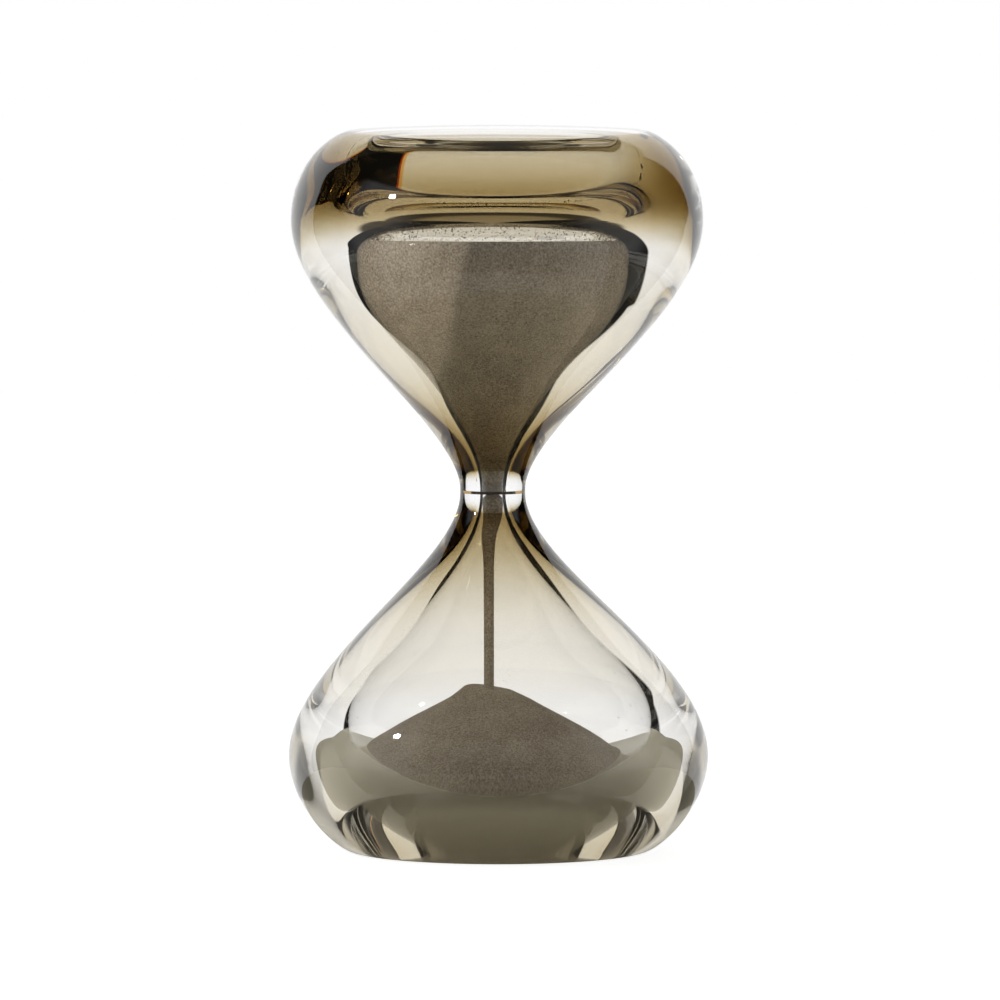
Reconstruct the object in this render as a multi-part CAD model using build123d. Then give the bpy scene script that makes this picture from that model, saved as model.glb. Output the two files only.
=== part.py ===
from build123d import *
import os

# Hourglass of solid blown glass with no frame. Two thick bulbs of clear glass each
# hold a thin smoke-grey core, and the core holds the sealed sand chamber. The halves
# meet at the waist on an orifice disc and a clear bond. Fine sand lies in the upper
# chamber, falls in a thin stream and heaps in the lower chamber.
#
# Frame: +Z up, origin at the middle of the base face, millimetres. Every glass piece
# is turned about the Z axis. "Depth" is measured from a half's own flat end face
# towards the waist, so one set of functions draws both halves.

# ---------------------------------------------------------------- halves
lower_half_height = 75.0
upper_half_height = 75.0
end_face_radius = 31.0        # flat ground face at each end
waist_radius = 6.8            # outer skin at the seam

# ---------------------------------------------------------------- outer skin
# A "pull" is how far the skin runs on straight from a point before it starts to turn.
lower_belly_radius = 43.75
lower_belly_depth = 19.7
lower_rim_pull = 3.5
lower_belly_pull_out = 10.3   # towards the end face
lower_belly_pull_in = 19.8    # towards the waist
lower_waist_pull = 15.1

upper_belly_radius = 42.9
upper_belly_depth = 18.6
upper_rim_pull = 3.9
upper_belly_pull_out = 11.8
upper_belly_pull_in = 19.8
upper_waist_pull = 13.4

rim_rise = 0.8                # the rim leaves the end face at this rise

# ---------------------------------------------------------------- sand chambers
lower_wall = 11.5             # glass between the chamber and the belly skin
lower_floor_depth = 5.0
lower_floor_pull = 19.2
lower_chamber_depth = 23.0    # depth of the chamber's widest ring
lower_chamber_pull_out = 7.5
lower_chamber_pull_in = 17.1
lower_neck_pull = 22.0

upper_wall = 14.5
upper_floor_depth = 14.8
upper_flat_radius = 17.0      # the closed end is flat this far out
upper_floor_pull = 5.5
upper_chamber_depth = 22.2
upper_chamber_pull_out = 5.0
upper_chamber_pull_in = 21.1
upper_neck_pull = 24.0

bore_radius = 2.1             # neck of each chamber at the disc

# ---------------------------------------------------------------- smoke cores
# The core is thin round the bellies, and thickens at the neck and the upper shoulder.
# Its pulls are longer than the chamber's by the amounts below. It stops short of the
# disc in a thick lip, whose end is hollowed like a cup and filled by clear glass.
lower_smoke_belly = 0.12      # core thickness round the chamber's widest ring
lower_smoke_floor = 0.25      # core thickness at the chamber's closed end
lower_smoke_end_extra = 0.25
lower_smoke_out_extra = 0.1
lower_smoke_in_extra = 0.1
lower_smoke_neck_extra = 0.4

upper_smoke_belly = 0.12
upper_smoke_floor = 0.36
upper_smoke_end_extra = 2.0
upper_smoke_out_extra = 1.5
upper_smoke_in_extra = 0.2
upper_smoke_neck_extra = 0.4

core_lip_radius = 4.6
core_lip_stop = 1.6           # from the lip's edge to the disc
core_cup_stop = 4.1           # from the bottom of the cup to the disc
core_cup_corner = 3.3         # radius where the cup's side turns into its bottom

# ---------------------------------------------------------------- waist seam
disc_thickness = 0.6
orifice_radius = 1.15
bond_bore_radius = 4.1        # the disc lies inside the bond
disc_clearance = 0.02         # round the disc

# ---------------------------------------------------------------- sand
sand_clearance = 0.05         # between sand and glass
sand_level_depth = 20.7       # depth of the upper sand's rim
sand_dip = 1.6                # how far its middle has sunk
heap_rim_height = 14.0        # where the heap meets the chamber wall
heap_top_height = 29.8
heap_crown_radius = 5.2       # rounded crown round the crater
crater_radius = 2.6
crater_depth = 0.7
stream_radius_top = 1.05
stream_radius_foot = 0.95

total_height = lower_half_height + upper_half_height
seam_height = lower_half_height
half_disc = disc_thickness / 2


def point(radius, depth):
    """A point of a half-section, in the XZ plane."""
    return Vector(radius, 0, depth)


def outer_skin(belly_r, belly_d, rim_pull, pull_out, pull_in, waist_pull, seam_depth):
    """Outer skin of a half, from the rim of the end face to the waist."""
    rim = Bezier(
        point(end_face_radius, 0),
        point(end_face_radius + rim_pull, rim_rise),
        point(belly_r, belly_d - pull_out),
        point(belly_r, belly_d),
    )
    shoulder = Bezier(
        point(belly_r, belly_d),
        point(belly_r, belly_d + pull_in),
        point(waist_radius, seam_depth - waist_pull),
        point(waist_radius, seam_depth),
    )
    return [rim, shoulder]


def pod(end_d, flat_r, end_pull, belly_r, belly_d, pull_out, pull_in,
        neck_r, neck_pull, seam_depth):
    """Closed-end drop shape, from the axis at its end to its neck."""
    flat = [line((0, end_d), (flat_r, end_d))] if flat_r else []
    end = Bezier(
        point(flat_r, end_d),
        point(flat_r + end_pull, end_d),
        point(belly_r, belly_d - pull_out),
        point(belly_r, belly_d),
    )
    flank = Bezier(
        point(belly_r, belly_d),
        point(belly_r, belly_d + pull_in),
        point(neck_r, seam_depth - neck_pull),
        point(neck_r, seam_depth),
    )
    return flat + [end, flank]


def turned(edges):
    """Solid turned about the Z axis from a closed chain of section edges."""
    return revolve(make_face(edges), axis=Axis.Z)


def line(a, b):
    return Line(point(*a), point(*b))


def solid_half(skin, seam_depth):
    """Solid inside the outer skin, from its end face to the disc."""
    edges = [line((0, 0), (end_face_radius, 0))] + skin
    edges.append(line((waist_radius, seam_depth), (0, seam_depth)))
    edges.append(line((0, seam_depth), (0, 0)))
    return turned(edges)


def solid_core(outside, end_d, seam_depth):
    """Solid inside the core's outside, ended by the cup at its lip."""
    bottom = seam_depth - core_cup_stop
    cup = Bezier(
        point(core_lip_radius, seam_depth - core_lip_stop),
        point(core_lip_radius, bottom),
        point(core_cup_corner, bottom),
        point(bore_radius, bottom),
    )
    edges = list(outside) + [cup]
    edges.append(line((bore_radius, bottom), (0, bottom)))
    edges.append(line((0, bottom), (0, end_d)))
    return turned(edges)


def disc(radius, low, high):
    """Solid disc about the axis between two heights."""
    place = Pos(0, 0, low)
    return place * Cylinder(radius, high - low, align=(Align.CENTER, Align.CENTER, Align.MIN))


def ring(inner, outer, low, high):
    return disc(outer, low, high) - disc(inner, low, high)


def filled(section, end_d, neck_r, seam_depth):
    """Solid that fills a pod."""
    edges = list(section)
    edges.append(line((neck_r, seam_depth), (0, seam_depth)))
    edges.append(line((0, seam_depth), (0, end_d)))
    return turned(edges)


def stand_on_top(solid):
    """Turn a half over so that its end face is the top of the hourglass."""
    return Pos(0, 0, total_height) * Rot(180, 0, 0) * solid


# ---------------------------------------------------------------- sections
lower_seam = lower_half_height - half_disc
upper_seam = upper_half_height - half_disc
lower_chamber_radius = lower_belly_radius - lower_wall
upper_chamber_radius = upper_belly_radius - upper_wall


def lower_chamber(gap):
    """Section of the lower chamber, drawn inwards by a gap."""
    return pod(
        lower_floor_depth + gap, 0, lower_floor_pull,
        lower_chamber_radius - gap, lower_chamber_depth,
        lower_chamber_pull_out, lower_chamber_pull_in,
        bore_radius - gap, lower_neck_pull, lower_seam,
    )


def upper_chamber(gap):
    """Section of the upper chamber, drawn inwards by a gap."""
    return pod(
        upper_floor_depth + gap, upper_flat_radius, upper_floor_pull,
        upper_chamber_radius - gap, upper_chamber_depth,
        upper_chamber_pull_out, upper_chamber_pull_in,
        bore_radius - gap, upper_neck_pull, upper_seam,
    )


lower_core_end = lower_floor_depth - lower_smoke_floor
upper_core_end = upper_floor_depth - upper_smoke_floor

lower_core_outside = pod(
    lower_core_end, 0, lower_floor_pull + lower_smoke_end_extra,
    lower_chamber_radius + lower_smoke_belly, lower_chamber_depth,
    lower_chamber_pull_out + lower_smoke_out_extra,
    lower_chamber_pull_in + lower_smoke_in_extra,
    core_lip_radius, lower_neck_pull + lower_smoke_neck_extra, lower_seam - core_lip_stop,
)
upper_core_outside = pod(
    upper_core_end, upper_flat_radius, upper_floor_pull + upper_smoke_end_extra,
    upper_chamber_radius + upper_smoke_belly, upper_chamber_depth,
    upper_chamber_pull_out + upper_smoke_out_extra,
    upper_chamber_pull_in + upper_smoke_in_extra,
    core_lip_radius, upper_neck_pull + upper_smoke_neck_extra, upper_seam - core_lip_stop,
)
lower_skin = outer_skin(
    lower_belly_radius, lower_belly_depth, lower_rim_pull,
    lower_belly_pull_out, lower_belly_pull_in, lower_waist_pull, lower_seam,
)
upper_skin = outer_skin(
    upper_belly_radius, upper_belly_depth, upper_rim_pull,
    upper_belly_pull_out, upper_belly_pull_in, upper_waist_pull, upper_seam,
)


def upper_sand_solid():
    """Sand left in the upper chamber, down through the orifice."""
    fill = filled(upper_chamber(sand_clearance), upper_floor_depth + sand_clearance,
                  bore_radius - sand_clearance, upper_seam)
    rim = total_height - sand_level_depth
    reach = upper_chamber_radius
    surface = Spline(
        point(0, rim - sand_dip), point(reach / 2, rim - sand_dip / 3), point(reach, rim),
        tangents=[(1, 0, 0), (1, 0, 0)],
    )
    below = turned([
        surface,
        line((reach, rim), (reach, seam_height)),
        line((reach, seam_height), (0, seam_height)),
        line((0, seam_height), (0, rim - sand_dip)),
    ])
    plug = disc(orifice_radius - sand_clearance, seam_height - half_disc, seam_height + half_disc)
    return (stand_on_top(fill) & below) + plug


def heap_solid():
    """Cone of fallen sand that fills the bottom of the lower chamber."""
    fill = filled(lower_chamber(sand_clearance), lower_floor_depth + sand_clearance,
                  bore_radius - sand_clearance, lower_seam)
    crown = heap_top_height - crater_depth / 2
    reach = lower_chamber_radius
    slope = (heap_rim_height - crown) / (reach - heap_crown_radius)
    top = Spline(
        point(0, heap_top_height - crater_depth),
        point(crater_radius, heap_top_height - crater_depth / 4),
        point(heap_crown_radius, crown),
        tangents=[(1, 0, 0), (1, 0, slope)],
    )
    below = turned([
        top,
        line((heap_crown_radius, crown), (reach, heap_rim_height)),
        line((reach, heap_rim_height), (reach, 0)),
        line((reach, 0), (0, 0)),
        line((0, 0), (0, heap_top_height - crater_depth)),
    ])
    return fill & below


def stream_solid(heap):
    """Thread of falling sand, from under the orifice down onto the heap."""
    foot = heap_top_height - crater_depth
    head = seam_height - half_disc
    thread = turned([
        line((0, foot), (stream_radius_foot, foot)),
        line((stream_radius_foot, foot), (stream_radius_top, head)),
        line((stream_radius_top, head), (0, head)),
        line((0, head), (0, foot)),
    ])
    return thread - heap


def glass_half(skin, core_body, chamber_body, seam_depth):
    """Casing and core of a half: what each leaves round the next one in."""
    clear = solid_half(skin, seam_depth) - core_body - chamber_body
    return clear, core_body - chamber_body


lower_casing, lower_core = glass_half(
    lower_skin,
    solid_core(lower_core_outside, lower_core_end, lower_seam),
    filled(lower_chamber(0), lower_floor_depth, bore_radius, lower_seam),
    lower_seam,
)
upper_casing, upper_core = glass_half(
    upper_skin,
    solid_core(upper_core_outside, upper_core_end, upper_seam),
    filled(upper_chamber(0), upper_floor_depth, bore_radius, upper_seam),
    upper_seam,
)
seam_low = seam_height - half_disc
seam_high = seam_height + half_disc
heap = heap_solid()

nodes = {
    "lower_glass_casing": lower_casing,
    "lower_smoke_core": lower_core,
    "orifice_disc": ring(orifice_radius, bond_bore_radius - disc_clearance, seam_low, seam_high),
    "neck_bond": ring(bond_bore_radius, waist_radius, seam_low, seam_high),
    "upper_glass_casing": stand_on_top(upper_casing),
    "upper_smoke_core": stand_on_top(upper_core),
    "upper_sand": upper_sand_solid(),
    "sand_stream": stream_solid(heap),
    "sand_heap": heap,
}

os.makedirs("parts", exist_ok=True)
for name, shape in nodes.items():
    export_step(shape, f"parts/{name}.step")
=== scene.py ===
import math

import bmesh
import bpy
import numpy as np
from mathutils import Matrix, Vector


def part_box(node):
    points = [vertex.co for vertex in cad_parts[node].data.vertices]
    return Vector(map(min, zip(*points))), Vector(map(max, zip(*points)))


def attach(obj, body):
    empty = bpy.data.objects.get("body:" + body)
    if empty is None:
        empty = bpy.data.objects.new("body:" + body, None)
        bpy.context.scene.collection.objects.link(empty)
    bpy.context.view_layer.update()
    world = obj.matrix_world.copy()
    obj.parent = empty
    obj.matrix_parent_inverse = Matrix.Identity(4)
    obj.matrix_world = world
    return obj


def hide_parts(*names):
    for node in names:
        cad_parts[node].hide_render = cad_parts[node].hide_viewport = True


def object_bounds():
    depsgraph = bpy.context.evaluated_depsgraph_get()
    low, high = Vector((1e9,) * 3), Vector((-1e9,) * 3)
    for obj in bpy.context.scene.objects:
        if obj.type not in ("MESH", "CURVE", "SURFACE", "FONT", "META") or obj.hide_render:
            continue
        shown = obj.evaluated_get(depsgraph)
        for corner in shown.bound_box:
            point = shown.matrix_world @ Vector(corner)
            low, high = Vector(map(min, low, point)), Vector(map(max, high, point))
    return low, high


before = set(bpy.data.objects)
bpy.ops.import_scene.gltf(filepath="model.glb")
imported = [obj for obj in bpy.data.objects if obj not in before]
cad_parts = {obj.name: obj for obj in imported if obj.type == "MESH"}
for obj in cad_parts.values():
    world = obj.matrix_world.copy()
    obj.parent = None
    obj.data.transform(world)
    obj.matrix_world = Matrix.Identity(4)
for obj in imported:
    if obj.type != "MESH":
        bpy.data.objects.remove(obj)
cad_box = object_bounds()

# Lengths are millimetres until a mesh is made. Z is up, and the base face is at zero.
MM = 0.001
HEIGHT = (cad_box[1][2] - cad_box[0][2]) / MM
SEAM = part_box("orifice_disc")
SEAM_LOW = SEAM[0][2] / MM
SEAM_HIGH = SEAM[1][2] / MM
SEAM_DEPTH = HEIGHT - SEAM_HIGH
SEGMENTS = 256                # points round a turned piece
CURVE_STEPS = 56
ON_AXIS = 1e-6                # a smaller radius is one point on the axis
SHARP_EDGE = 35.0             # degrees

END_FACE = 31.0
WAIST = 6.8
BORE = 2.1
BOND_BORE = 4.1
CORE_LIP = 4.6                # smoke layer's thick end near the waist
LIP_STOP = 1.6                # the lip's edge stops this far short of the seam
CUP_STOP = 4.1                # and the bottom of the cup in its end, this far
CUP_CORNER = 3.3
CUP_STEPS = 14
FLAT_STEPS = 24

# A half's skin: belly radius, belly depth, and its pulls at the rim, outwards, inwards
# and at the waist.
LOWER_SKIN = dict(belly=43.75, depth=19.7, rim=3.5, out=10.3, inward=19.8, waist=15.1)
UPPER_SKIN = dict(belly=42.9, depth=18.6, rim=3.9, out=11.8, inward=19.8, waist=13.4)
RIM_RISE = 0.8

# A half's chamber: its closed end, widest ring and pulls.
LOWER_CHAMBER = dict(end=5.0, flat=0.0, end_pull=19.2, belly=32.25, depth=23.0,
                     out=7.5, inward=17.1, neck=22.0)
UPPER_CHAMBER = dict(end=14.8, flat=17.0, end_pull=5.5, belly=28.4, depth=22.2,
                     out=5.0, inward=21.1, neck=24.0)

# The smoke layer's thickness at belly and closed end, what it adds to the end's pull,
# and its own pulls.
LOWER_SMOKE = dict(belly=0.07, end=0.25, roof=0.25, out=7.6, inward=17.2, neck=24.0)
UPPER_SMOKE = dict(belly=0.12, end=0.36, roof=2.0, out=6.5, inward=21.3, neck=26.0)
GAP = 0.03                    # between the smoke layer and the chamber, and at the seam's rings

# The blown halves lean a little: sideways offset of skin and chamber at belly and waist.
# The stream doesn't.
SKIN_LEAN = dict(lower=0.2, waist=-1.0, upper=-0.1)
CHAMBER_LEAN = dict(lower=0.4, waist=-1.0, upper=-0.7)
UPRIGHT = dict(lower=0.0, waist=0.0, upper=0.0)
LOWER_BELLY_Z = 30.0
UPPER_BELLY_Z = 120.0


def bezier(a, b, c, d, steps=CURVE_STEPS):
    """Points of a cubic curve, both ends included."""
    t = np.linspace(0, 1, steps)[:, None]
    a, b, c, d = (np.array(p, float) for p in (a, b, c, d))
    return (1 - t) ** 3 * a + 3 * (1 - t) ** 2 * t * b + 3 * (1 - t) * t * t * c + t ** 3 * d


def joined(*runs):
    """One chain from several, without the doubled points."""
    return np.vstack([runs[0]] + [r[1:] for r in runs[1:]])


def skin_section(s, seam):
    """Outside of a half, from the edge of its end face to the seam."""
    rim = bezier((END_FACE, 0), (END_FACE + s["rim"], RIM_RISE),
                 (s["belly"], s["depth"] - s["out"]), (s["belly"], s["depth"]))
    shoulder = bezier((s["belly"], s["depth"]), (s["belly"], s["depth"] + s["inward"]),
                      (WAIST, seam - s["waist"]), (WAIST, seam))
    return joined(rim, shoulder)


def end_section(c, low, swell, belly, depth, out):
    """Closed end of a chamber: a flat middle and a turn into the widest ring."""
    turn = bezier((c["flat"], low), (c["flat"] + c["end_pull"] + swell, low),
                  (belly, depth - out), (belly, depth))
    if not c["flat"]:
        return turn
    middle = np.column_stack([np.linspace(0, c["flat"], FLAT_STEPS), np.full(FLAT_STEPS, low)])
    return joined(middle, turn)


def pod_section(c, seam, gap=0.0):
    """Section of a chamber from the axis to its neck, swollen by a gap."""
    belly = c["belly"] + gap
    low = c["end"] - gap
    end = end_section(c, low, gap, belly, c["depth"], c["out"] + gap)
    flank = bezier((belly, c["depth"]), (belly, c["depth"] + c["inward"]),
                   (BORE + gap, seam - c["neck"]), (BORE + gap, seam))
    return joined(end, flank)


def smoke_section(c, smoke, seam):
    """Outside of the smoke layer round a chamber."""
    belly = c["belly"] + smoke["belly"]
    depth = c["depth"]
    end = end_section(c, c["end"] - smoke["end"], smoke["roof"], belly, depth, smoke["out"])
    flank = bezier((belly, depth), (belly, depth + smoke["inward"]),
                   (CORE_LIP, seam - smoke["neck"]), (CORE_LIP, seam - LIP_STOP))
    wall = pod_section(c, seam, GAP)
    corner = wall[int(np.nonzero(wall[:, 1] < seam - CUP_STOP)[0][-1])]
    cup = bezier((CORE_LIP, seam - LIP_STOP), (CORE_LIP, corner[1]), (CUP_CORNER, corner[1]),
                 corner, CUP_STEPS)
    return joined(end, flank, cup)


def smoke_wall(c, seam):
    """Inside of the smoke layer, just off the chamber's wall, up to its lip."""
    wall = pod_section(c, seam, GAP)
    return wall[:int(np.nonzero(wall[:, 1] < seam - CUP_STOP)[0][-1])]


def from_top(section):
    """Turn depth below the top face into height."""
    return np.column_stack([section[:, 0], HEIGHT - section[:, 1]])


def smooth(x):
    """Smooth step from 0 to 1."""
    x = min(max(x, 0.0), 1.0)
    return x * x * (3 - 2 * x)


def lean(z, amounts):
    """Sideways offset at a height."""
    middle = (SEAM_LOW + SEAM_HIGH) / 2
    if z < middle:
        k = smooth((z - LOWER_BELLY_Z) / (middle - LOWER_BELLY_Z))
        return amounts["lower"] + (amounts["waist"] - amounts["lower"]) * k
    k = smooth((z - middle) / (UPPER_BELLY_Z - middle))
    return amounts["waist"] + (amounts["upper"] - amounts["waist"]) * k


def mesh_piece(name, verts, faces):
    """Object with a mesh whose faces all look outwards."""
    mesh = bpy.data.meshes.new(name)
    mesh.from_pydata(verts, [], faces)
    bm = bmesh.new()
    bm.from_mesh(mesh)
    bmesh.ops.recalc_face_normals(bm, faces=bm.faces)
    bm.to_mesh(mesh)
    bm.free()
    piece = bpy.data.objects.new(name, mesh)
    bpy.context.scene.collection.objects.link(piece)
    return piece


def band(a, b):
    """Faces between two rings of points, of which one may be a single point on the axis."""
    if len(a) == 1 and len(b) == 1:
        return []
    faces = []
    for i in range(SEGMENTS):
        j = (i + 1) % SEGMENTS
        if len(a) == 1:
            faces.append((a[0], b[i], b[j]))
        elif len(b) == 1:
            faces.append((a[i], b[0], a[j]))
        else:
            faces.append((a[i], b[i], b[j], a[j]))
    return faces


def turned(name, runs, closed=False, shape=None):
    """Mesh piece turned about the axis from runs of (section, lean).

    shape(x, y, z) may move a point of the finished surface, in millimetres."""
    rows = [(r, z, amounts) for section, amounts in runs for r, z in section]
    verts, rings = [], []
    for r, z, amounts in rows:
        ring = []
        for i in range(1 if r < ON_AXIS else SEGMENTS):
            a = 2 * math.pi * i / SEGMENTS
            p = (r * math.cos(a), r * math.sin(a), z)
            if shape:
                p = shape(*p)
            ring.append(len(verts))
            verts.append(((p[0] + lean(p[2], amounts)) * MM, p[1] * MM, p[2] * MM))
        rings.append(ring)
    pairs = list(zip(rings[:-1], rings[1:]))
    if closed:
        pairs.append((rings[-1], rings[0]))
    piece = mesh_piece(name, verts, [face for a, b in pairs for face in band(a, b)])
    piece.data.polygons.foreach_set("use_smooth", [True] * len(piece.data.polygons))
    piece.data.set_sharp_from_angle(angle=math.radians(SHARP_EDGE))
    return piece


def place(piece, material, slot, *nodes):
    """Give a piece its material and the root body, and hide the CAD solids that it stands for. The
    slot is not used.
    """
    piece.data.materials.append(material)
    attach(piece, "root")
    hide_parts(*nodes)


# ---------------------------------------------------------------- materials
WHITE = (1.0, 1.0, 1.0)
GLASS_IOR = 1.5
SMOKE_TINT = (0.614, 0.50, 0.20, 1)
SMOKE_DENSITY = 700.0
SAND_DARK = (0.17, 0.142, 0.105, 1)
SAND_LIGHT = (0.56, 0.478, 0.37, 1)
DRIFT_SHARE = 0.25            # of the sand's tone, the rest being specks
METAL_DARK = (0.05, 0.035, 0.02, 1)
METAL_LIGHT = (0.16, 0.11, 0.05, 1)
BOND_TINT = (0.55, 0.38, 0.16)


def new_material(name):
    """Material with its node tree and the node of its surface."""
    mat = bpy.data.materials.new(name)
    mat.use_nodes = True
    tree = mat.node_tree
    return mat, tree, tree.nodes["Principled BSDF"]


def node(tree, kind, **values):
    """Node with values for its sockets or properties."""
    n = tree.nodes.new(kind)
    for key, value in values.items():
        name = key.replace("_", " ")
        if name in n.inputs:
            n.inputs[name].default_value = value
        else:
            setattr(n, key, value)
    return n


def glass(name, colour, roughness, ior):
    """See-through material and its node tree."""
    mat, tree, bsdf = new_material(name)
    bsdf.inputs["Base Color"].default_value = (*colour, 1)
    bsdf.inputs["Transmission Weight"].default_value = 1.0
    bsdf.inputs["Roughness"].default_value = roughness
    bsdf.inputs["IOR"].default_value = ior
    return mat, tree


def smoke_glass():
    """Tinted layer fused into the clear glass, so its own surface bends no light."""
    mat, tree = glass("smoke_glass", WHITE, 0.0, 1.0)
    absorb = node(tree, "ShaderNodeVolumeAbsorption", Color=SMOKE_TINT, Density=SMOKE_DENSITY)
    tree.links.new(absorb.outputs[0], tree.nodes["Material Output"].inputs["Volume"])
    return mat


def sand_material():
    """Matt grains with fine specks and broad, faint drifts of tone."""
    mat, tree, bsdf = new_material("sand")
    bsdf.inputs["Roughness"].default_value = 0.95
    bsdf.inputs["Specular IOR Level"].default_value = 0.15
    where = node(tree, "ShaderNodeTexCoord")
    grain = node(tree, "ShaderNodeTexVoronoi", Scale=4200.0)
    drift = node(tree, "ShaderNodeTexNoise", Scale=160.0, Detail=3.0)
    speck = node(tree, "ShaderNodeTexNoise", Scale=2700.0, Detail=1.5)
    for texture in (grain, drift, speck):
        tree.links.new(where.outputs["Object"], texture.inputs["Vector"])
    tone = node(tree, "ShaderNodeValToRGB")
    tone.color_ramp.elements[0].position = 0.30
    tone.color_ramp.elements[0].color = SAND_DARK
    tone.color_ramp.elements[1].position = 0.72
    tone.color_ramp.elements[1].color = SAND_LIGHT
    blend = node(tree, "ShaderNodeMath", operation="MULTIPLY_ADD")
    tree.links.new(drift.outputs["Fac"], blend.inputs[0])
    blend.inputs[1].default_value = DRIFT_SHARE
    specks = node(tree, "ShaderNodeMath", operation="MULTIPLY")
    specks.inputs[1].default_value = 1 - DRIFT_SHARE
    tree.links.new(speck.outputs["Fac"], specks.inputs[0])
    tree.links.new(specks.outputs[0], blend.inputs[2])
    tree.links.new(blend.outputs[0], tone.inputs["Fac"])
    tree.links.new(tone.outputs["Color"], bsdf.inputs["Base Color"])
    bump = node(tree, "ShaderNodeBump", Strength=0.5, Distance=0.0002)
    tree.links.new(grain.outputs["Distance"], bump.inputs["Height"])
    tree.links.new(bump.outputs["Normal"], bsdf.inputs["Normal"])
    return mat


def disc_metal():
    """Dark, stained metal."""
    mat, tree, bsdf = new_material("disc_metal")
    bsdf.inputs["Metallic"].default_value = 1.0
    where = node(tree, "ShaderNodeTexCoord")
    stain = node(tree, "ShaderNodeTexNoise", Scale=900.0, Detail=4.0)
    tree.links.new(where.outputs["Object"], stain.inputs["Vector"])
    tone = node(tree, "ShaderNodeValToRGB")
    tone.color_ramp.elements[0].color = METAL_DARK
    tone.color_ramp.elements[1].color = METAL_LIGHT
    tree.links.new(stain.outputs["Fac"], tone.inputs["Fac"])
    tree.links.new(tone.outputs["Color"], bsdf.inputs["Base Color"])
    bsdf.inputs["Roughness"].default_value = 0.45
    return mat


# ---------------------------------------------------------------- glass
GLASS = glass("clear_glass", WHITE, 0.0, GLASS_IOR)[0]
SMOKE = smoke_glass()
SAND = sand_material()

lower_skin = skin_section(LOWER_SKIN, SEAM_LOW)
upper_skin = from_top(skin_section(UPPER_SKIN, SEAM_DEPTH))
lower_wall = pod_section(LOWER_CHAMBER, SEAM_LOW)
upper_wall = from_top(pod_section(UPPER_CHAMBER, SEAM_DEPTH))
axis_foot = np.array([[0, 0]])
axis_head = np.array([[0, HEIGHT]])

lower_glass = turned("lower_glass", [
    (axis_foot, SKIN_LEAN), (lower_skin, SKIN_LEAN), (lower_wall[::-1], CHAMBER_LEAN)])
upper_glass = turned("upper_glass", [
    (axis_head, SKIN_LEAN), (upper_skin, SKIN_LEAN), (upper_wall[::-1], CHAMBER_LEAN)])
place(lower_glass, GLASS, "clear_glass", "lower_glass_casing")
place(upper_glass, GLASS, "clear_glass", "upper_glass_casing")

lower_smoke = turned("lower_smoke", [
    (smoke_wall(LOWER_CHAMBER, SEAM_LOW), CHAMBER_LEAN),
    (smoke_section(LOWER_CHAMBER, LOWER_SMOKE, SEAM_LOW)[::-1], CHAMBER_LEAN)])
upper_smoke = turned("upper_smoke", [
    (from_top(smoke_wall(UPPER_CHAMBER, SEAM_DEPTH)), CHAMBER_LEAN),
    (from_top(smoke_section(UPPER_CHAMBER, UPPER_SMOKE, SEAM_DEPTH))[::-1], CHAMBER_LEAN)])
place(lower_smoke, SMOKE, "smoke_glass", "lower_smoke_core")
place(upper_smoke, SMOKE, "smoke_glass", "upper_smoke_core")

# ---------------------------------------------------------------- seam
ORIFICE = 1.15
disc = turned("seam_disc", [
    (np.array([[ORIFICE, SEAM_LOW + GAP], [BOND_BORE - GAP, SEAM_LOW + GAP],
               [BOND_BORE - GAP, SEAM_HIGH - GAP], [ORIFICE, SEAM_HIGH - GAP]]), SKIN_LEAN)],
    closed=True)
place(disc, disc_metal(), "disc_metal", "orifice_disc")
bond = turned("seam_bond", [
    (np.array([[BOND_BORE, SEAM_LOW + GAP], [WAIST, SEAM_LOW + GAP],
               [WAIST, SEAM_HIGH - GAP], [BOND_BORE, SEAM_HIGH - GAP]]), SKIN_LEAN)], closed=True)
place(bond, glass("bond", BOND_TINT, 0.1, GLASS_IOR)[0], "bond", "neck_bond")

# ---------------------------------------------------------------- sand
SAND_GAP = 0.05               # between the sand and the chamber's wall
UPPER_LEVEL = HEIGHT - 20.7
UPPER_DIP = 1.6
DISH_STEPS = 60
HEAP_RIM = 15.2
HEAP_TOP = 31.2
HEAP_STEPS = 70
HEAP_CROWN = 5.2
HEAP_TILT = 0.045             # rise to the left
HEAP_SLIDE = 2.3              # the top's offset to the left
RIPPLE_HEIGHT = 0.22
RIPPLE_ACROSS = 0.31          # radians per millimetre
RIPPLE_BACK = 0.27
CROWN_STEPS = 24
CRATER = 2.6
CRATER_DEPTH = 0.7
CRATER_LIP = 0.28             # slope of the lip across the crater
CRATER_REACH = 9.0
WALL_ROWS = 70                # of the lower chamber's section, from the axis to well above the heap
RIM_BLEND = 3.0               # ripple and lip fade in over this height above the rim
STREAM_TOP = 1.15             # radii at the disc and below STREAM_HEIGHTS
STREAM_FOOT = 1.05
STREAM_HEIGHTS = (60.0, 45.0)
STREAM_TAPER = 0.97
STREAM_STEPS = 24
STREAM_SWELL = 0.9
SWELL_FOOT = 56.0
SWELL_RISE = 18.0
SWELL_NECK = 1.5              # the swelling closes again over this length under the disc
STREAM_STEP = 0.9             # sideways, to the left
STEP_TOP = 70.0
STEP_FALL = 7.0


def up_to(section, level):
    """The part of a chamber wall, listed from its low end, that lies below a level."""
    z = section[:, 1]
    i = int(np.nonzero(z > level)[0][0])
    k = (level - z[i - 1]) / (z[i] - z[i - 1])
    edge = section[i - 1] + (section[i] - section[i - 1]) * k
    return np.vstack([section[:i], edge])


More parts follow.
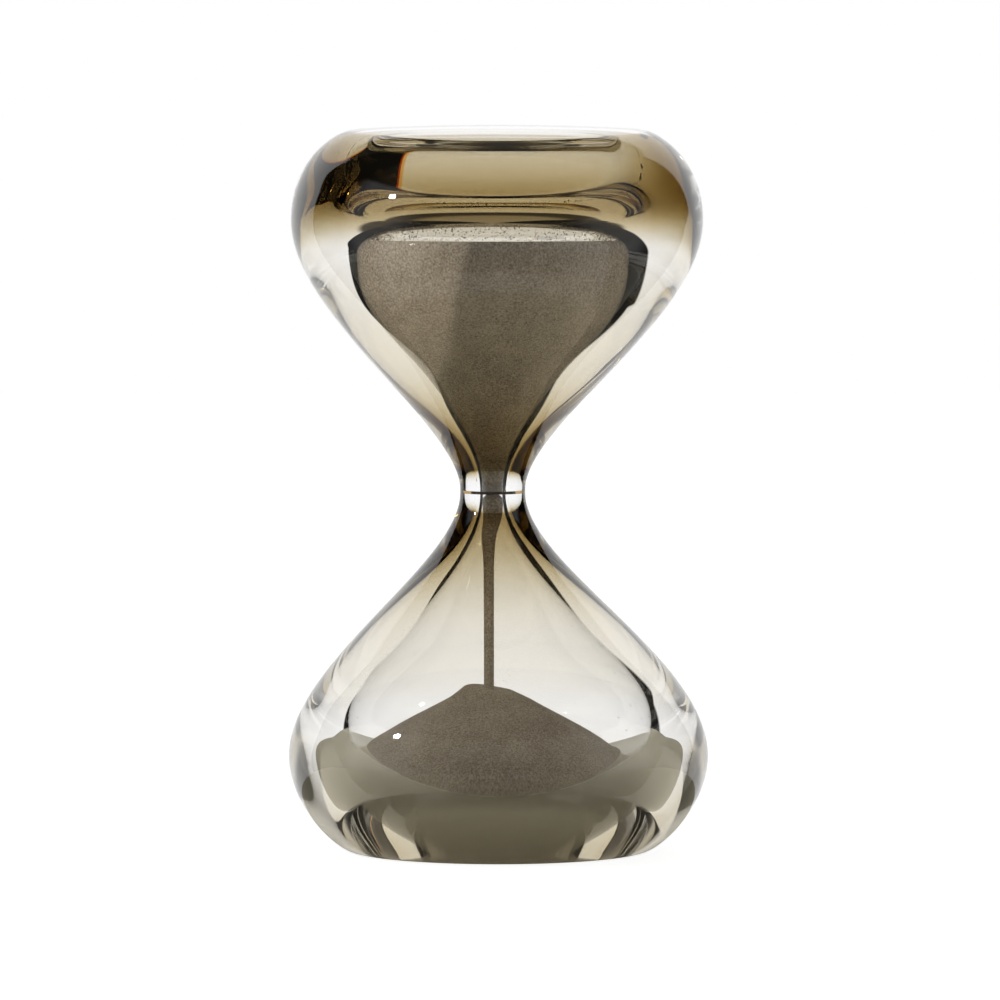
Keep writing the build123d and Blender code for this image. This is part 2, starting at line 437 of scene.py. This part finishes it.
upper_inside = from_top(pod_section(UPPER_CHAMBER, SEAM_DEPTH, -SAND_GAP))
sand_side = up_to(upper_inside[::-1], UPPER_LEVEL)
plug = np.array([[0, SEAM_LOW], [ORIFICE - SAND_GAP, SEAM_LOW], [ORIFICE - SAND_GAP, SEAM_HIGH]])
rim_r = sand_side[-1][0]
top_r = np.linspace(rim_r, 0, DISH_STEPS)[1:]
dish = np.column_stack([top_r, UPPER_LEVEL - UPPER_DIP * (1 - (top_r / rim_r) ** 2) ** 1.5])
upper_sand = turned("upper_sand_fill", [
    (plug, CHAMBER_LEAN), (sand_side, CHAMBER_LEAN), (dish, CHAMBER_LEAN)])
place(upper_sand, SAND, "sand", "upper_sand")

lower_inside = pod_section(LOWER_CHAMBER, SEAM_LOW, -SAND_GAP)
heap_side = up_to(lower_inside, HEAP_RIM)
heap_r = heap_side[-1][0]
flank_r = np.linspace(heap_r, HEAP_CROWN, HEAP_STEPS)[1:]
crown_z = HEAP_TOP - CRATER_DEPTH / 2
flank_z = HEAP_RIM + (crown_z - HEAP_RIM) * (heap_r - flank_r) / (heap_r - HEAP_CROWN)
crater_z = HEAP_TOP - CRATER_DEPTH
crown = bezier((HEAP_CROWN, crown_z), (CRATER * 1.2, HEAP_TOP + 0.3), (CRATER * 0.6, crater_z),
               (0, crater_z), CROWN_STEPS)


def heap_slump(x, y, z):
    """The heap stands a little higher on the left, and its rim stays on the glass.

    Its top leans to the left, under the stream."""
    r = math.hypot(x, y)
    share = smooth(z / HEAP_RIM) if z < HEAP_RIM else 1.0
    lift = -HEAP_TILT * x * share
    slide = HEAP_SLIDE * max(z - HEAP_RIM, 0.0) / (HEAP_TOP - HEAP_RIM)
    if r < ON_AXIS:
        return x - slide, y, z + lift
    at = min(z, HEAP_RIM)
    section = lower_inside[:WALL_ROWS]
    wall = np.interp([at, at + lift], section[:, 1], section[:, 0])
    k = 1 + (wall[1] / wall[0] - 1) * (1.0 if z < HEAP_RIM else r / heap_r) if wall[0] > 1 else 1.0
    top = smooth((z - HEAP_RIM) / RIM_BLEND)
    ripple = RIPPLE_HEIGHT * math.sin(RIPPLE_ACROSS * x + 1.0) * math.cos(RIPPLE_BACK * y) * top
    lip = -CRATER_LIP * x * smooth(1 - r / CRATER_REACH) * top
    return x * k - slide, y * k, z + lift + ripple + lip


sand_heap = turned("sand_heap_pile", [
    (heap_side, CHAMBER_LEAN), (np.column_stack([flank_r, flank_z]), CHAMBER_LEAN),
    (crown[1:], CHAMBER_LEAN)], shape=heap_slump)
place(sand_heap, SAND, "sand", "sand_heap")

stream_foot = crater_z + 0.1
thread = np.array([[0, SEAM_LOW - GAP], [STREAM_TOP, SEAM_LOW - GAP],
                   [STREAM_TOP * STREAM_TAPER, STREAM_HEIGHTS[0]],
                   [STREAM_FOOT, STREAM_HEIGHTS[1]],
                   [STREAM_FOOT, stream_foot], [0, stream_foot]])


def stream_drift(x, y, z):
    """The stream swells under the disc, steps to the left and then falls straight."""
    swell = smooth((z - SWELL_FOOT) / SWELL_RISE) * smooth((SEAM_LOW - z) / SWELL_NECK)
    wide = 1.0 + STREAM_SWELL * swell
    step = STREAM_STEP * smooth((STEP_TOP - z) / STEP_FALL)
    return x * wide + CHAMBER_LEAN["waist"] - step, y * wide, z


thread = np.vstack([bezier(a, a, b, b, STREAM_STEPS) for a, b in zip(thread[:-1], thread[1:])])
moved = np.any(np.abs(np.diff(thread, axis=0)) > 1e-9, axis=1)
thread = thread[np.concatenate([[True], moved])]
stream = turned("sand_thread", [(thread, UPRIGHT)], shape=stream_drift)
place(stream, SAND, "sand", "sand_stream")

DUST_SINK = 0.8               # a grain's middle stands off the wall by this share of its size
DUST_REACH = 0.75             # and its corners stand off the middle by this
DUST_INNER = 3.0              # no grain nearer the axis
END_ROWS = 40                 # of the upper chamber's section, in its closed end


def dust(name, section, low, high, count, spread, size, seed):
    """Grains lying against a chamber's wall between two heights, in one mesh."""
    rng = np.random.default_rng(seed)
    order = np.argsort(section[:, 1])
    verts, faces = [], []
    for k in range(count):
        z = low + (high - low) * rng.random()
        a = math.radians(rng.uniform(*spread))
        s = size * rng.uniform(0.5, 1.0)
        r = np.interp(z, section[order, 1], section[order, 0]) - DUST_SINK * s
        if r < DUST_INNER:
            continue
        x = r * math.sin(a) + lean(z, CHAMBER_LEAN)
        corners = rng.normal(size=(4, 3))
        corners *= DUST_REACH * s / np.linalg.norm(corners, axis=1)[:, None]
        n = len(verts)
        verts += [tuple((np.array([x, r * math.cos(a), z]) + c) * MM) for c in corners]
        faces += [(n, n + 1, n + 2), (n, n + 3, n + 1), (n, n + 2, n + 3), (n + 1, n + 3, n + 2)]
    return mesh_piece(name, verts, faces)


upper_dust = dust("upper_wall_dust", upper_inside[END_ROWS:], UPPER_LEVEL - 0.2, HEIGHT - 15.3,
                  count=8000, spread=(-180, 180), size=0.24, seed=3)
place(upper_dust, SAND, "sand", "upper_sand")
lower_dust = dust("lower_wall_dust", lower_inside, 24.0, 52.0,
                  count=300, spread=(0, 360), size=0.2, seed=5)
place(lower_dust, SAND, "sand", "sand_heap")

# ---------------------------------------------------------------- camera
PICTURE = 150.0 / 720 * MM        # metres at the axis that one thousandth of the picture spans
DISTANCE = 12100 * PICTURE
CAMERA_HEIGHT = 0.2549
AIM_HEIGHT = 0.0731
SENSOR = 36
LENS = 436.7
SHIFT = 0.0025
camera = bpy.data.objects.new("camera", bpy.data.cameras.new("camera"))
bpy.context.scene.collection.objects.link(camera)
camera.location = (0, -DISTANCE, CAMERA_HEIGHT)
camera.rotation_mode = "QUATERNION"
camera.rotation_quaternion = (Vector((0, 0, AIM_HEIGHT)) - camera.location).to_track_quat("-Z", "Y")
camera.data.sensor_width = SENSOR
camera.data.lens = LENS
camera.data.shift_x = SHIFT
camera.data.clip_start = 0.1
camera.data.clip_end = 100
bpy.context.scene.camera = camera

# ---------------------------------------------------------------- studio
# Directions round the object, in degrees: azimuth 0 is behind it, positive to the right.
# Each pair is where a smooth step starts and ends.
RIGHT_FLAG = dict(inner=(42, 45), outer=(80, 96), bend=(-5, 3))
LEFT_FLAG = dict(inner=(-55.5, -54), outer=(-96, -80), bend=(12, 24))
FLAG_LEAN = -6                # what the flags' inner edges move by at their bend
BACK_SIDE = (54, 66)
BESIDE = (80, 100)
FRONT_SIDE = (118, 140)
FRONT_FOOT = (-7, -1)
CEILING_EDGE = (33, 37)
CEILING_FADE = (47, 58)
SOFT_CEILING = (55, 75)

SIDE_WALL = (0.66, 0.66, 0.76)
NEAR_WALL = (0.7, 0.69, 0.67)
FRONT_DARK = (0.11, 0.11, 0.11)
CEILING_DARK = (0.07, 0.062, 0.05)
CEILING_PALE = (0.40, 0.36, 0.28)
CEILING_SOFT = (0.45, 0.41, 0.33)
FLAG_BLACK = (0.012, 0.012, 0.012)
FLAG_SOFT = (0.02, 0.02, 0.02)


def stage_mesh(name, verts, faces, material):
    """Mesh that belongs to the studio and not to the part."""
    mesh = bpy.data.meshes.new(name)
    mesh.from_pydata(verts, [], faces)
    piece = bpy.data.objects.new(name, mesh)
    bpy.context.scene.collection.objects.link(piece)
    piece.data.materials.append(material)
    return piece


def math_node(tree, operation, *inputs):
    """Output of a math node fed with numbers or sockets."""
    n = tree.nodes.new("ShaderNodeMath")
    n.operation = operation
    for i, value in enumerate(inputs):
        if isinstance(value, (int, float)):
            n.inputs[i].default_value = value
        else:
            tree.links.new(value, n.inputs[i])
    return n.outputs[0]


def square(tree, value):
    return math_node(tree, "MULTIPLY", value, value)


def inverse(tree, value):
    return math_node(tree, "SUBTRACT", 1.0, value)


def step_node(tree, value, start, end):
    """Smooth step of an angle between two angles in degrees."""
    n = tree.nodes.new("ShaderNodeMapRange")
    n.interpolation_type = "SMOOTHSTEP"
    n.inputs["From Min"].default_value = math.radians(start)
    n.inputs["From Max"].default_value = math.radians(end)
    tree.links.new(value, n.inputs["Value"])
    return n.outputs[0]


def mix_node(tree, factor, a, b):
    """Colour a turning to b as the factor goes from 0 to 1."""
    n = tree.nodes.new("ShaderNodeMix")
    n.data_type = "RGBA"
    for socket, value in ((n.inputs[0], factor), (n.inputs[6], a), (n.inputs[7], b)):
        if isinstance(value, (int, float)):
            socket.default_value = value
        elif isinstance(value, tuple):
            socket.default_value = (*value, 1)
        else:
            tree.links.new(value, socket)
    return n.outputs[2]


def shifted(tree, value, degrees, amount):
    """An angle moved by some degrees times an amount."""
    return math_node(tree, "ADD", value, math_node(tree, "MULTIPLY", amount, math.radians(degrees)))


def studio_world():
    """Pale room with black flags and a dark ceiling, white to the camera."""
    world = bpy.data.worlds.new("studio")
    bpy.context.scene.world = world
    world.use_nodes = True
    tree = world.node_tree
    tree.nodes.clear()

    def step(value, start, end):
        return step_node(tree, value, start, end)

    def mix(factor, a, b):
        return mix_node(tree, factor, a, b)

    where = tree.nodes.new("ShaderNodeTexCoord")
    split = tree.nodes.new("ShaderNodeSeparateXYZ")
    tree.links.new(where.outputs["Generated"], split.inputs[0])
    azimuth = math_node(tree, "ARCTAN2", split.outputs[0], split.outputs[1])
    elevation = math_node(tree, "ARCSINE", split.outputs[2])

    # Black flags stand left and right behind the object, and their inner edges lean.
    right_bend = inverse(tree, step(elevation, *RIGHT_FLAG["bend"]))
    right_edge = shifted(tree, azimuth, FLAG_LEAN, right_bend)
    left_edge = shifted(tree, azimuth, FLAG_LEAN, step(elevation, *LEFT_FLAG["bend"]))
    right = math_node(tree, "MULTIPLY", step(right_edge, *RIGHT_FLAG["inner"]),
                      inverse(tree, step(azimuth, *RIGHT_FLAG["outer"])))
    left = math_node(tree, "MULTIPLY", inverse(tree, step(left_edge, *LEFT_FLAG["inner"])),
                     step(azimuth, *LEFT_FLAG["outer"]))
    flags = math_node(tree, "MAXIMUM", right, left)

    turn = math_node(tree, "ABSOLUTE", azimuth)
    behind = mix(step(turn, *BACK_SIDE), WHITE, SIDE_WALL)
    beside = mix(step(turn, *BESIDE), behind, NEAR_WALL)
    front = math_node(tree, "MULTIPLY", step(turn, *FRONT_SIDE), step(elevation, *FRONT_FOOT))
    room = mix(front, beside, FRONT_DARK)
    low_ceiling = mix(step(elevation, *CEILING_EDGE), room, CEILING_DARK)
    ceiling = mix(step(elevation, *CEILING_FADE), low_ceiling, CEILING_PALE)
    through_glass = mix(flags, ceiling, FLAG_BLACK)
    soft_ceiling = mix(step(elevation, *SOFT_CEILING), room, CEILING_SOFT)
    on_surfaces = mix(flags, soft_ceiling, FLAG_SOFT)
    path = tree.nodes.new("ShaderNodeLightPath")
    scattered = math_node(tree, "GREATER_THAN", path.outputs["Diffuse Depth"], 0.5)
    studio = mix(scattered, through_glass, on_surfaces)
    seen = mix(path.outputs["Is Camera Ray"], studio, WHITE)
    background = tree.nodes.new("ShaderNodeBackground")
    output = tree.nodes.new("ShaderNodeOutputWorld")
    tree.links.new(seen, background.inputs["Color"])
    tree.links.new(background.outputs[0], output.inputs["Surface"])


studio_world()

# ---------------------------------------------------------------- floor
TABLE_REACH = 0.30            # the table's radius round the axis, metres
TABLE_EDGE = 36.0             # its back edge is this far behind the axis
TABLE_FADE = 0.3
TABLE_TONE = (0.80, 0.76, 0.61, 1)
PAINTED_GLOW_FULL = 23.0               # painted pool of light on the table under the base, where the glass would focus light: full inside this radius
PAINTED_GLOW_NONE = 29.5
PAINTED_GLOW_STRENGTH = 0.06
PAINTED_GLOW_TONE = (1.0, 0.93, 0.72, 1)
FLOOR_TONE = (0.5, 0.5, 0.5, 1)
FLOOR_GLOW = 0.88
FLOOR = 1.5                   # half the floor's width, metres
FLOOR_DROP = 0.00005


def floor_material():
    """Pale floor to the camera. The glass sees a grey-green table with open air round it, and a
    painted pool of light on the table under the base.
    """
    mat = bpy.data.materials.new("floor")
    mat.use_nodes = True
    tree = mat.node_tree
    tree.nodes.clear()

    def link(a, b):
        tree.links.new(a, b)

    where = tree.nodes.new("ShaderNodeTexCoord")
    split = tree.nodes.new("ShaderNodeSeparateXYZ")
    link(where.outputs["Object"], split.inputs[0])
    edge = tree.nodes.new("ShaderNodeMapRange")
    edge.inputs["From Min"].default_value = (TABLE_EDGE - TABLE_FADE) * MM
    edge.inputs["From Max"].default_value = (TABLE_EDGE + TABLE_FADE) * MM
    link(split.outputs["Y"], edge.inputs["Value"])
    table = tree.nodes.new("ShaderNodeBsdfDiffuse")
    table.inputs["Color"].default_value = TABLE_TONE
    flat = math_node(tree, "SQRT", math_node(tree, "ADD", square(tree, split.outputs["X"]),
                                             square(tree, split.outputs["Y"])))
    beyond = math_node(tree, "MAXIMUM", edge.outputs[0],
                       math_node(tree, "GREATER_THAN", flat, TABLE_REACH))
    # Painted light: a faint warm glow on the table under the base, in place of the light that the
    # glass base would focus there.
    under = tree.nodes.new("ShaderNodeMapRange")
    under.interpolation_type = "SMOOTHSTEP"
    under.inputs["From Min"].default_value = PAINTED_GLOW_FULL * MM
    under.inputs["From Max"].default_value = PAINTED_GLOW_NONE * MM
    under.inputs["To Min"].default_value = PAINTED_GLOW_STRENGTH
    under.inputs["To Max"].default_value = 0.0
    link(flat, under.inputs["Value"])
    painted_glow = tree.nodes.new("ShaderNodeEmission")
    painted_glow.inputs["Color"].default_value = PAINTED_GLOW_TONE
    link(under.outputs[0], painted_glow.inputs["Strength"])
    table_and_painted_glow = tree.nodes.new("ShaderNodeAddShader")
    link(table.outputs[0], table_and_painted_glow.inputs[0])
    link(painted_glow.outputs[0], table_and_painted_glow.inputs[1])
    open_air = tree.nodes.new("ShaderNodeBsdfTransparent")
    ground = tree.nodes.new("ShaderNodeMixShader")
    link(beyond, ground.inputs[0])
    link(table_and_painted_glow.outputs[0], ground.inputs[1])
    link(open_air.outputs[0], ground.inputs[2])
    pale = tree.nodes.new("ShaderNodeBsdfDiffuse")
    pale.inputs["Color"].default_value = FLOOR_TONE
    glow = tree.nodes.new("ShaderNodeEmission")
    glow.inputs["Strength"].default_value = FLOOR_GLOW
    shown = tree.nodes.new("ShaderNodeAddShader")
    link(pale.outputs[0], shown.inputs[0])
    link(glow.outputs[0], shown.inputs[1])
    path = tree.nodes.new("ShaderNodeLightPath")
    choice = tree.nodes.new("ShaderNodeMixShader")
    link(path.outputs["Is Camera Ray"], choice.inputs[0])
    link(ground.outputs[0], choice.inputs[1])
    link(shown.outputs[0], choice.inputs[2])
    output = tree.nodes.new("ShaderNodeOutputMaterial")
    link(choice.outputs[0], output.inputs["Surface"])
    return mat


stage_mesh("floor", [(-FLOOR, -FLOOR, -FLOOR_DROP), (FLOOR, -FLOOR, -FLOOR_DROP),
                     (FLOOR, FLOOR, -FLOOR_DROP), (-FLOOR, FLOOR, -FLOOR_DROP)],
           [(0, 1, 2, 3)], floor_material())

# ---------------------------------------------------------------- card and lamps
CARD_Y = 110.0
CARD_FOOT = 104.0
CARD_TOP = 149.0
CARD_LEFT = 20.0
CARD_RIGHT = 37.0
CARD_RED = 0.6                # width of the card's red edge
CARD_GOLD = 0.9               # and of the gold one beyond it
LAMP_DISTANCE = 0.9           # metres from the point a lamp aims at
KEY_SIZE = 0.07
WARM_WHITE = (1.0, 0.97, 0.92)


def card(name, left, right, colour):
    """Upright card behind the glass, of one even glow and seen through the glass only."""
    mat = bpy.data.materials.new(name)
    mat.use_nodes = True
    tree = mat.node_tree
    tree.nodes.clear()
    glow = node(tree, "ShaderNodeEmission", Color=(*colour, 1))
    end = tree.nodes.new("ShaderNodeOutputMaterial")
    tree.links.new(glow.outputs[0], end.inputs["Surface"])
    corners = [(left, CARD_Y, CARD_FOOT), (right, CARD_Y, CARD_FOOT),
               (right, CARD_Y, CARD_TOP), (left, CARD_Y, CARD_TOP)]
    piece = stage_mesh(name, [tuple(c * MM for c in p) for p in corners], [(0, 1, 2, 3)], mat)
    piece.visible_camera = False
    piece.visible_shadow = False
    piece.visible_diffuse = False


# A black card with a warm left edge.
card_red = CARD_LEFT - CARD_RED
card("upper_card", CARD_LEFT, CARD_RIGHT, (0.008, 0.008, 0.008))
card("upper_card_red", card_red, CARD_LEFT, (0.45, 0.06, 0.01))
card("upper_card_gold", card_red - CARD_GOLD, card_red, (1.0, 0.62, 0.22))


def toward(azimuth, elevation):
    """Unit direction from the object, azimuth 0 behind it and positive to the right."""
    a, e = math.radians(azimuth), math.radians(elevation)
    return Vector((math.cos(e) * math.sin(a), math.cos(e) * math.cos(a), math.sin(e)))


def lamp(name, kind, aim, azimuth, elevation, energy, colour):
    """Lamp that looks at a point from a direction."""
    data = bpy.data.lights.new(name, kind)
    data.energy = energy
    data.color = colour
    piece = bpy.data.objects.new(name, data)
    bpy.context.scene.collection.objects.link(piece)
    aim = Vector(aim) * MM
    piece.location = aim + LAMP_DISTANCE * toward(azimuth, elevation)
    piece.rotation_mode = "QUATERNION"
    piece.rotation_quaternion = (aim - piece.location).to_track_quat("-Z", "Y")
    return piece


key = lamp("key", "AREA", (0, 0, 80), -116, 28, 0.8, WHITE)
key.data.shape = "DISK"
key.data.size = KEY_SIZE

# These lamps reach the sand only, and pass the glass without bending.
sand_only = bpy.data.collections.new("sand_pieces")
bpy.context.scene.collection.children.link(sand_only)
for piece in (upper_sand, sand_heap, stream):
    sand_only.objects.link(piece)


def sand_lamp(name, aim, azimuth, elevation, reach, blend, energy, colour):
    """Spot that lights a circle of the given reach round its aim."""
    piece = lamp(name, "SPOT", aim, azimuth, elevation, energy, colour)
    piece.data.spot_size = 2 * math.atan(reach * MM / LAMP_DISTANCE)
    piece.data.spot_blend = blend
    piece.data.shadow_soft_size = 0.0
    piece.data.use_shadow = False
    piece.light_linking.receiver_collection = sand_only


# Aim in millimetres, azimuth, elevation, reach, blend, watts and colour.
sand_lamp("left_upper", (-5.0, 10.3, 131), -116, 12, 36.2, 0.08, 17.0, WARM_WHITE)
sand_lamp("right_upper", (20, 10, 112), 112, 5, 38, 0.7, 8.0, (1.0, 0.96, 0.90))
sand_lamp("heap_left", (-12, 0, 16), -112, 35, 40, 1.0, 6.0, WARM_WHITE)
sand_lamp("heap_right", (14, 0, 16), 130, 35, 36, 1.0, 4.0, WARM_WHITE)
sand_lamp("heap_below", (0, -8, 8), 180, -35, 36, 1.0, 3.0, WARM_WHITE)
sand_lamp("front_upper", (5, -6, 104), 168, 5, 32, 1.0, 5.0, WARM_WHITE)
sand_lamp("stream_front", (-1, 0, 56), 172, 5, 21, 0.9, 6.0, WARM_WHITE)

# ---------------------------------------------------------------- render settings of the look
scene = bpy.context.scene
scene.view_settings.view_transform = "Standard"
scene.cycles.max_bounces = 24
scene.cycles.transmission_bounces = 24
scene.cycles.glossy_bounces = 16
scene.cycles.transparent_max_bounces = 32
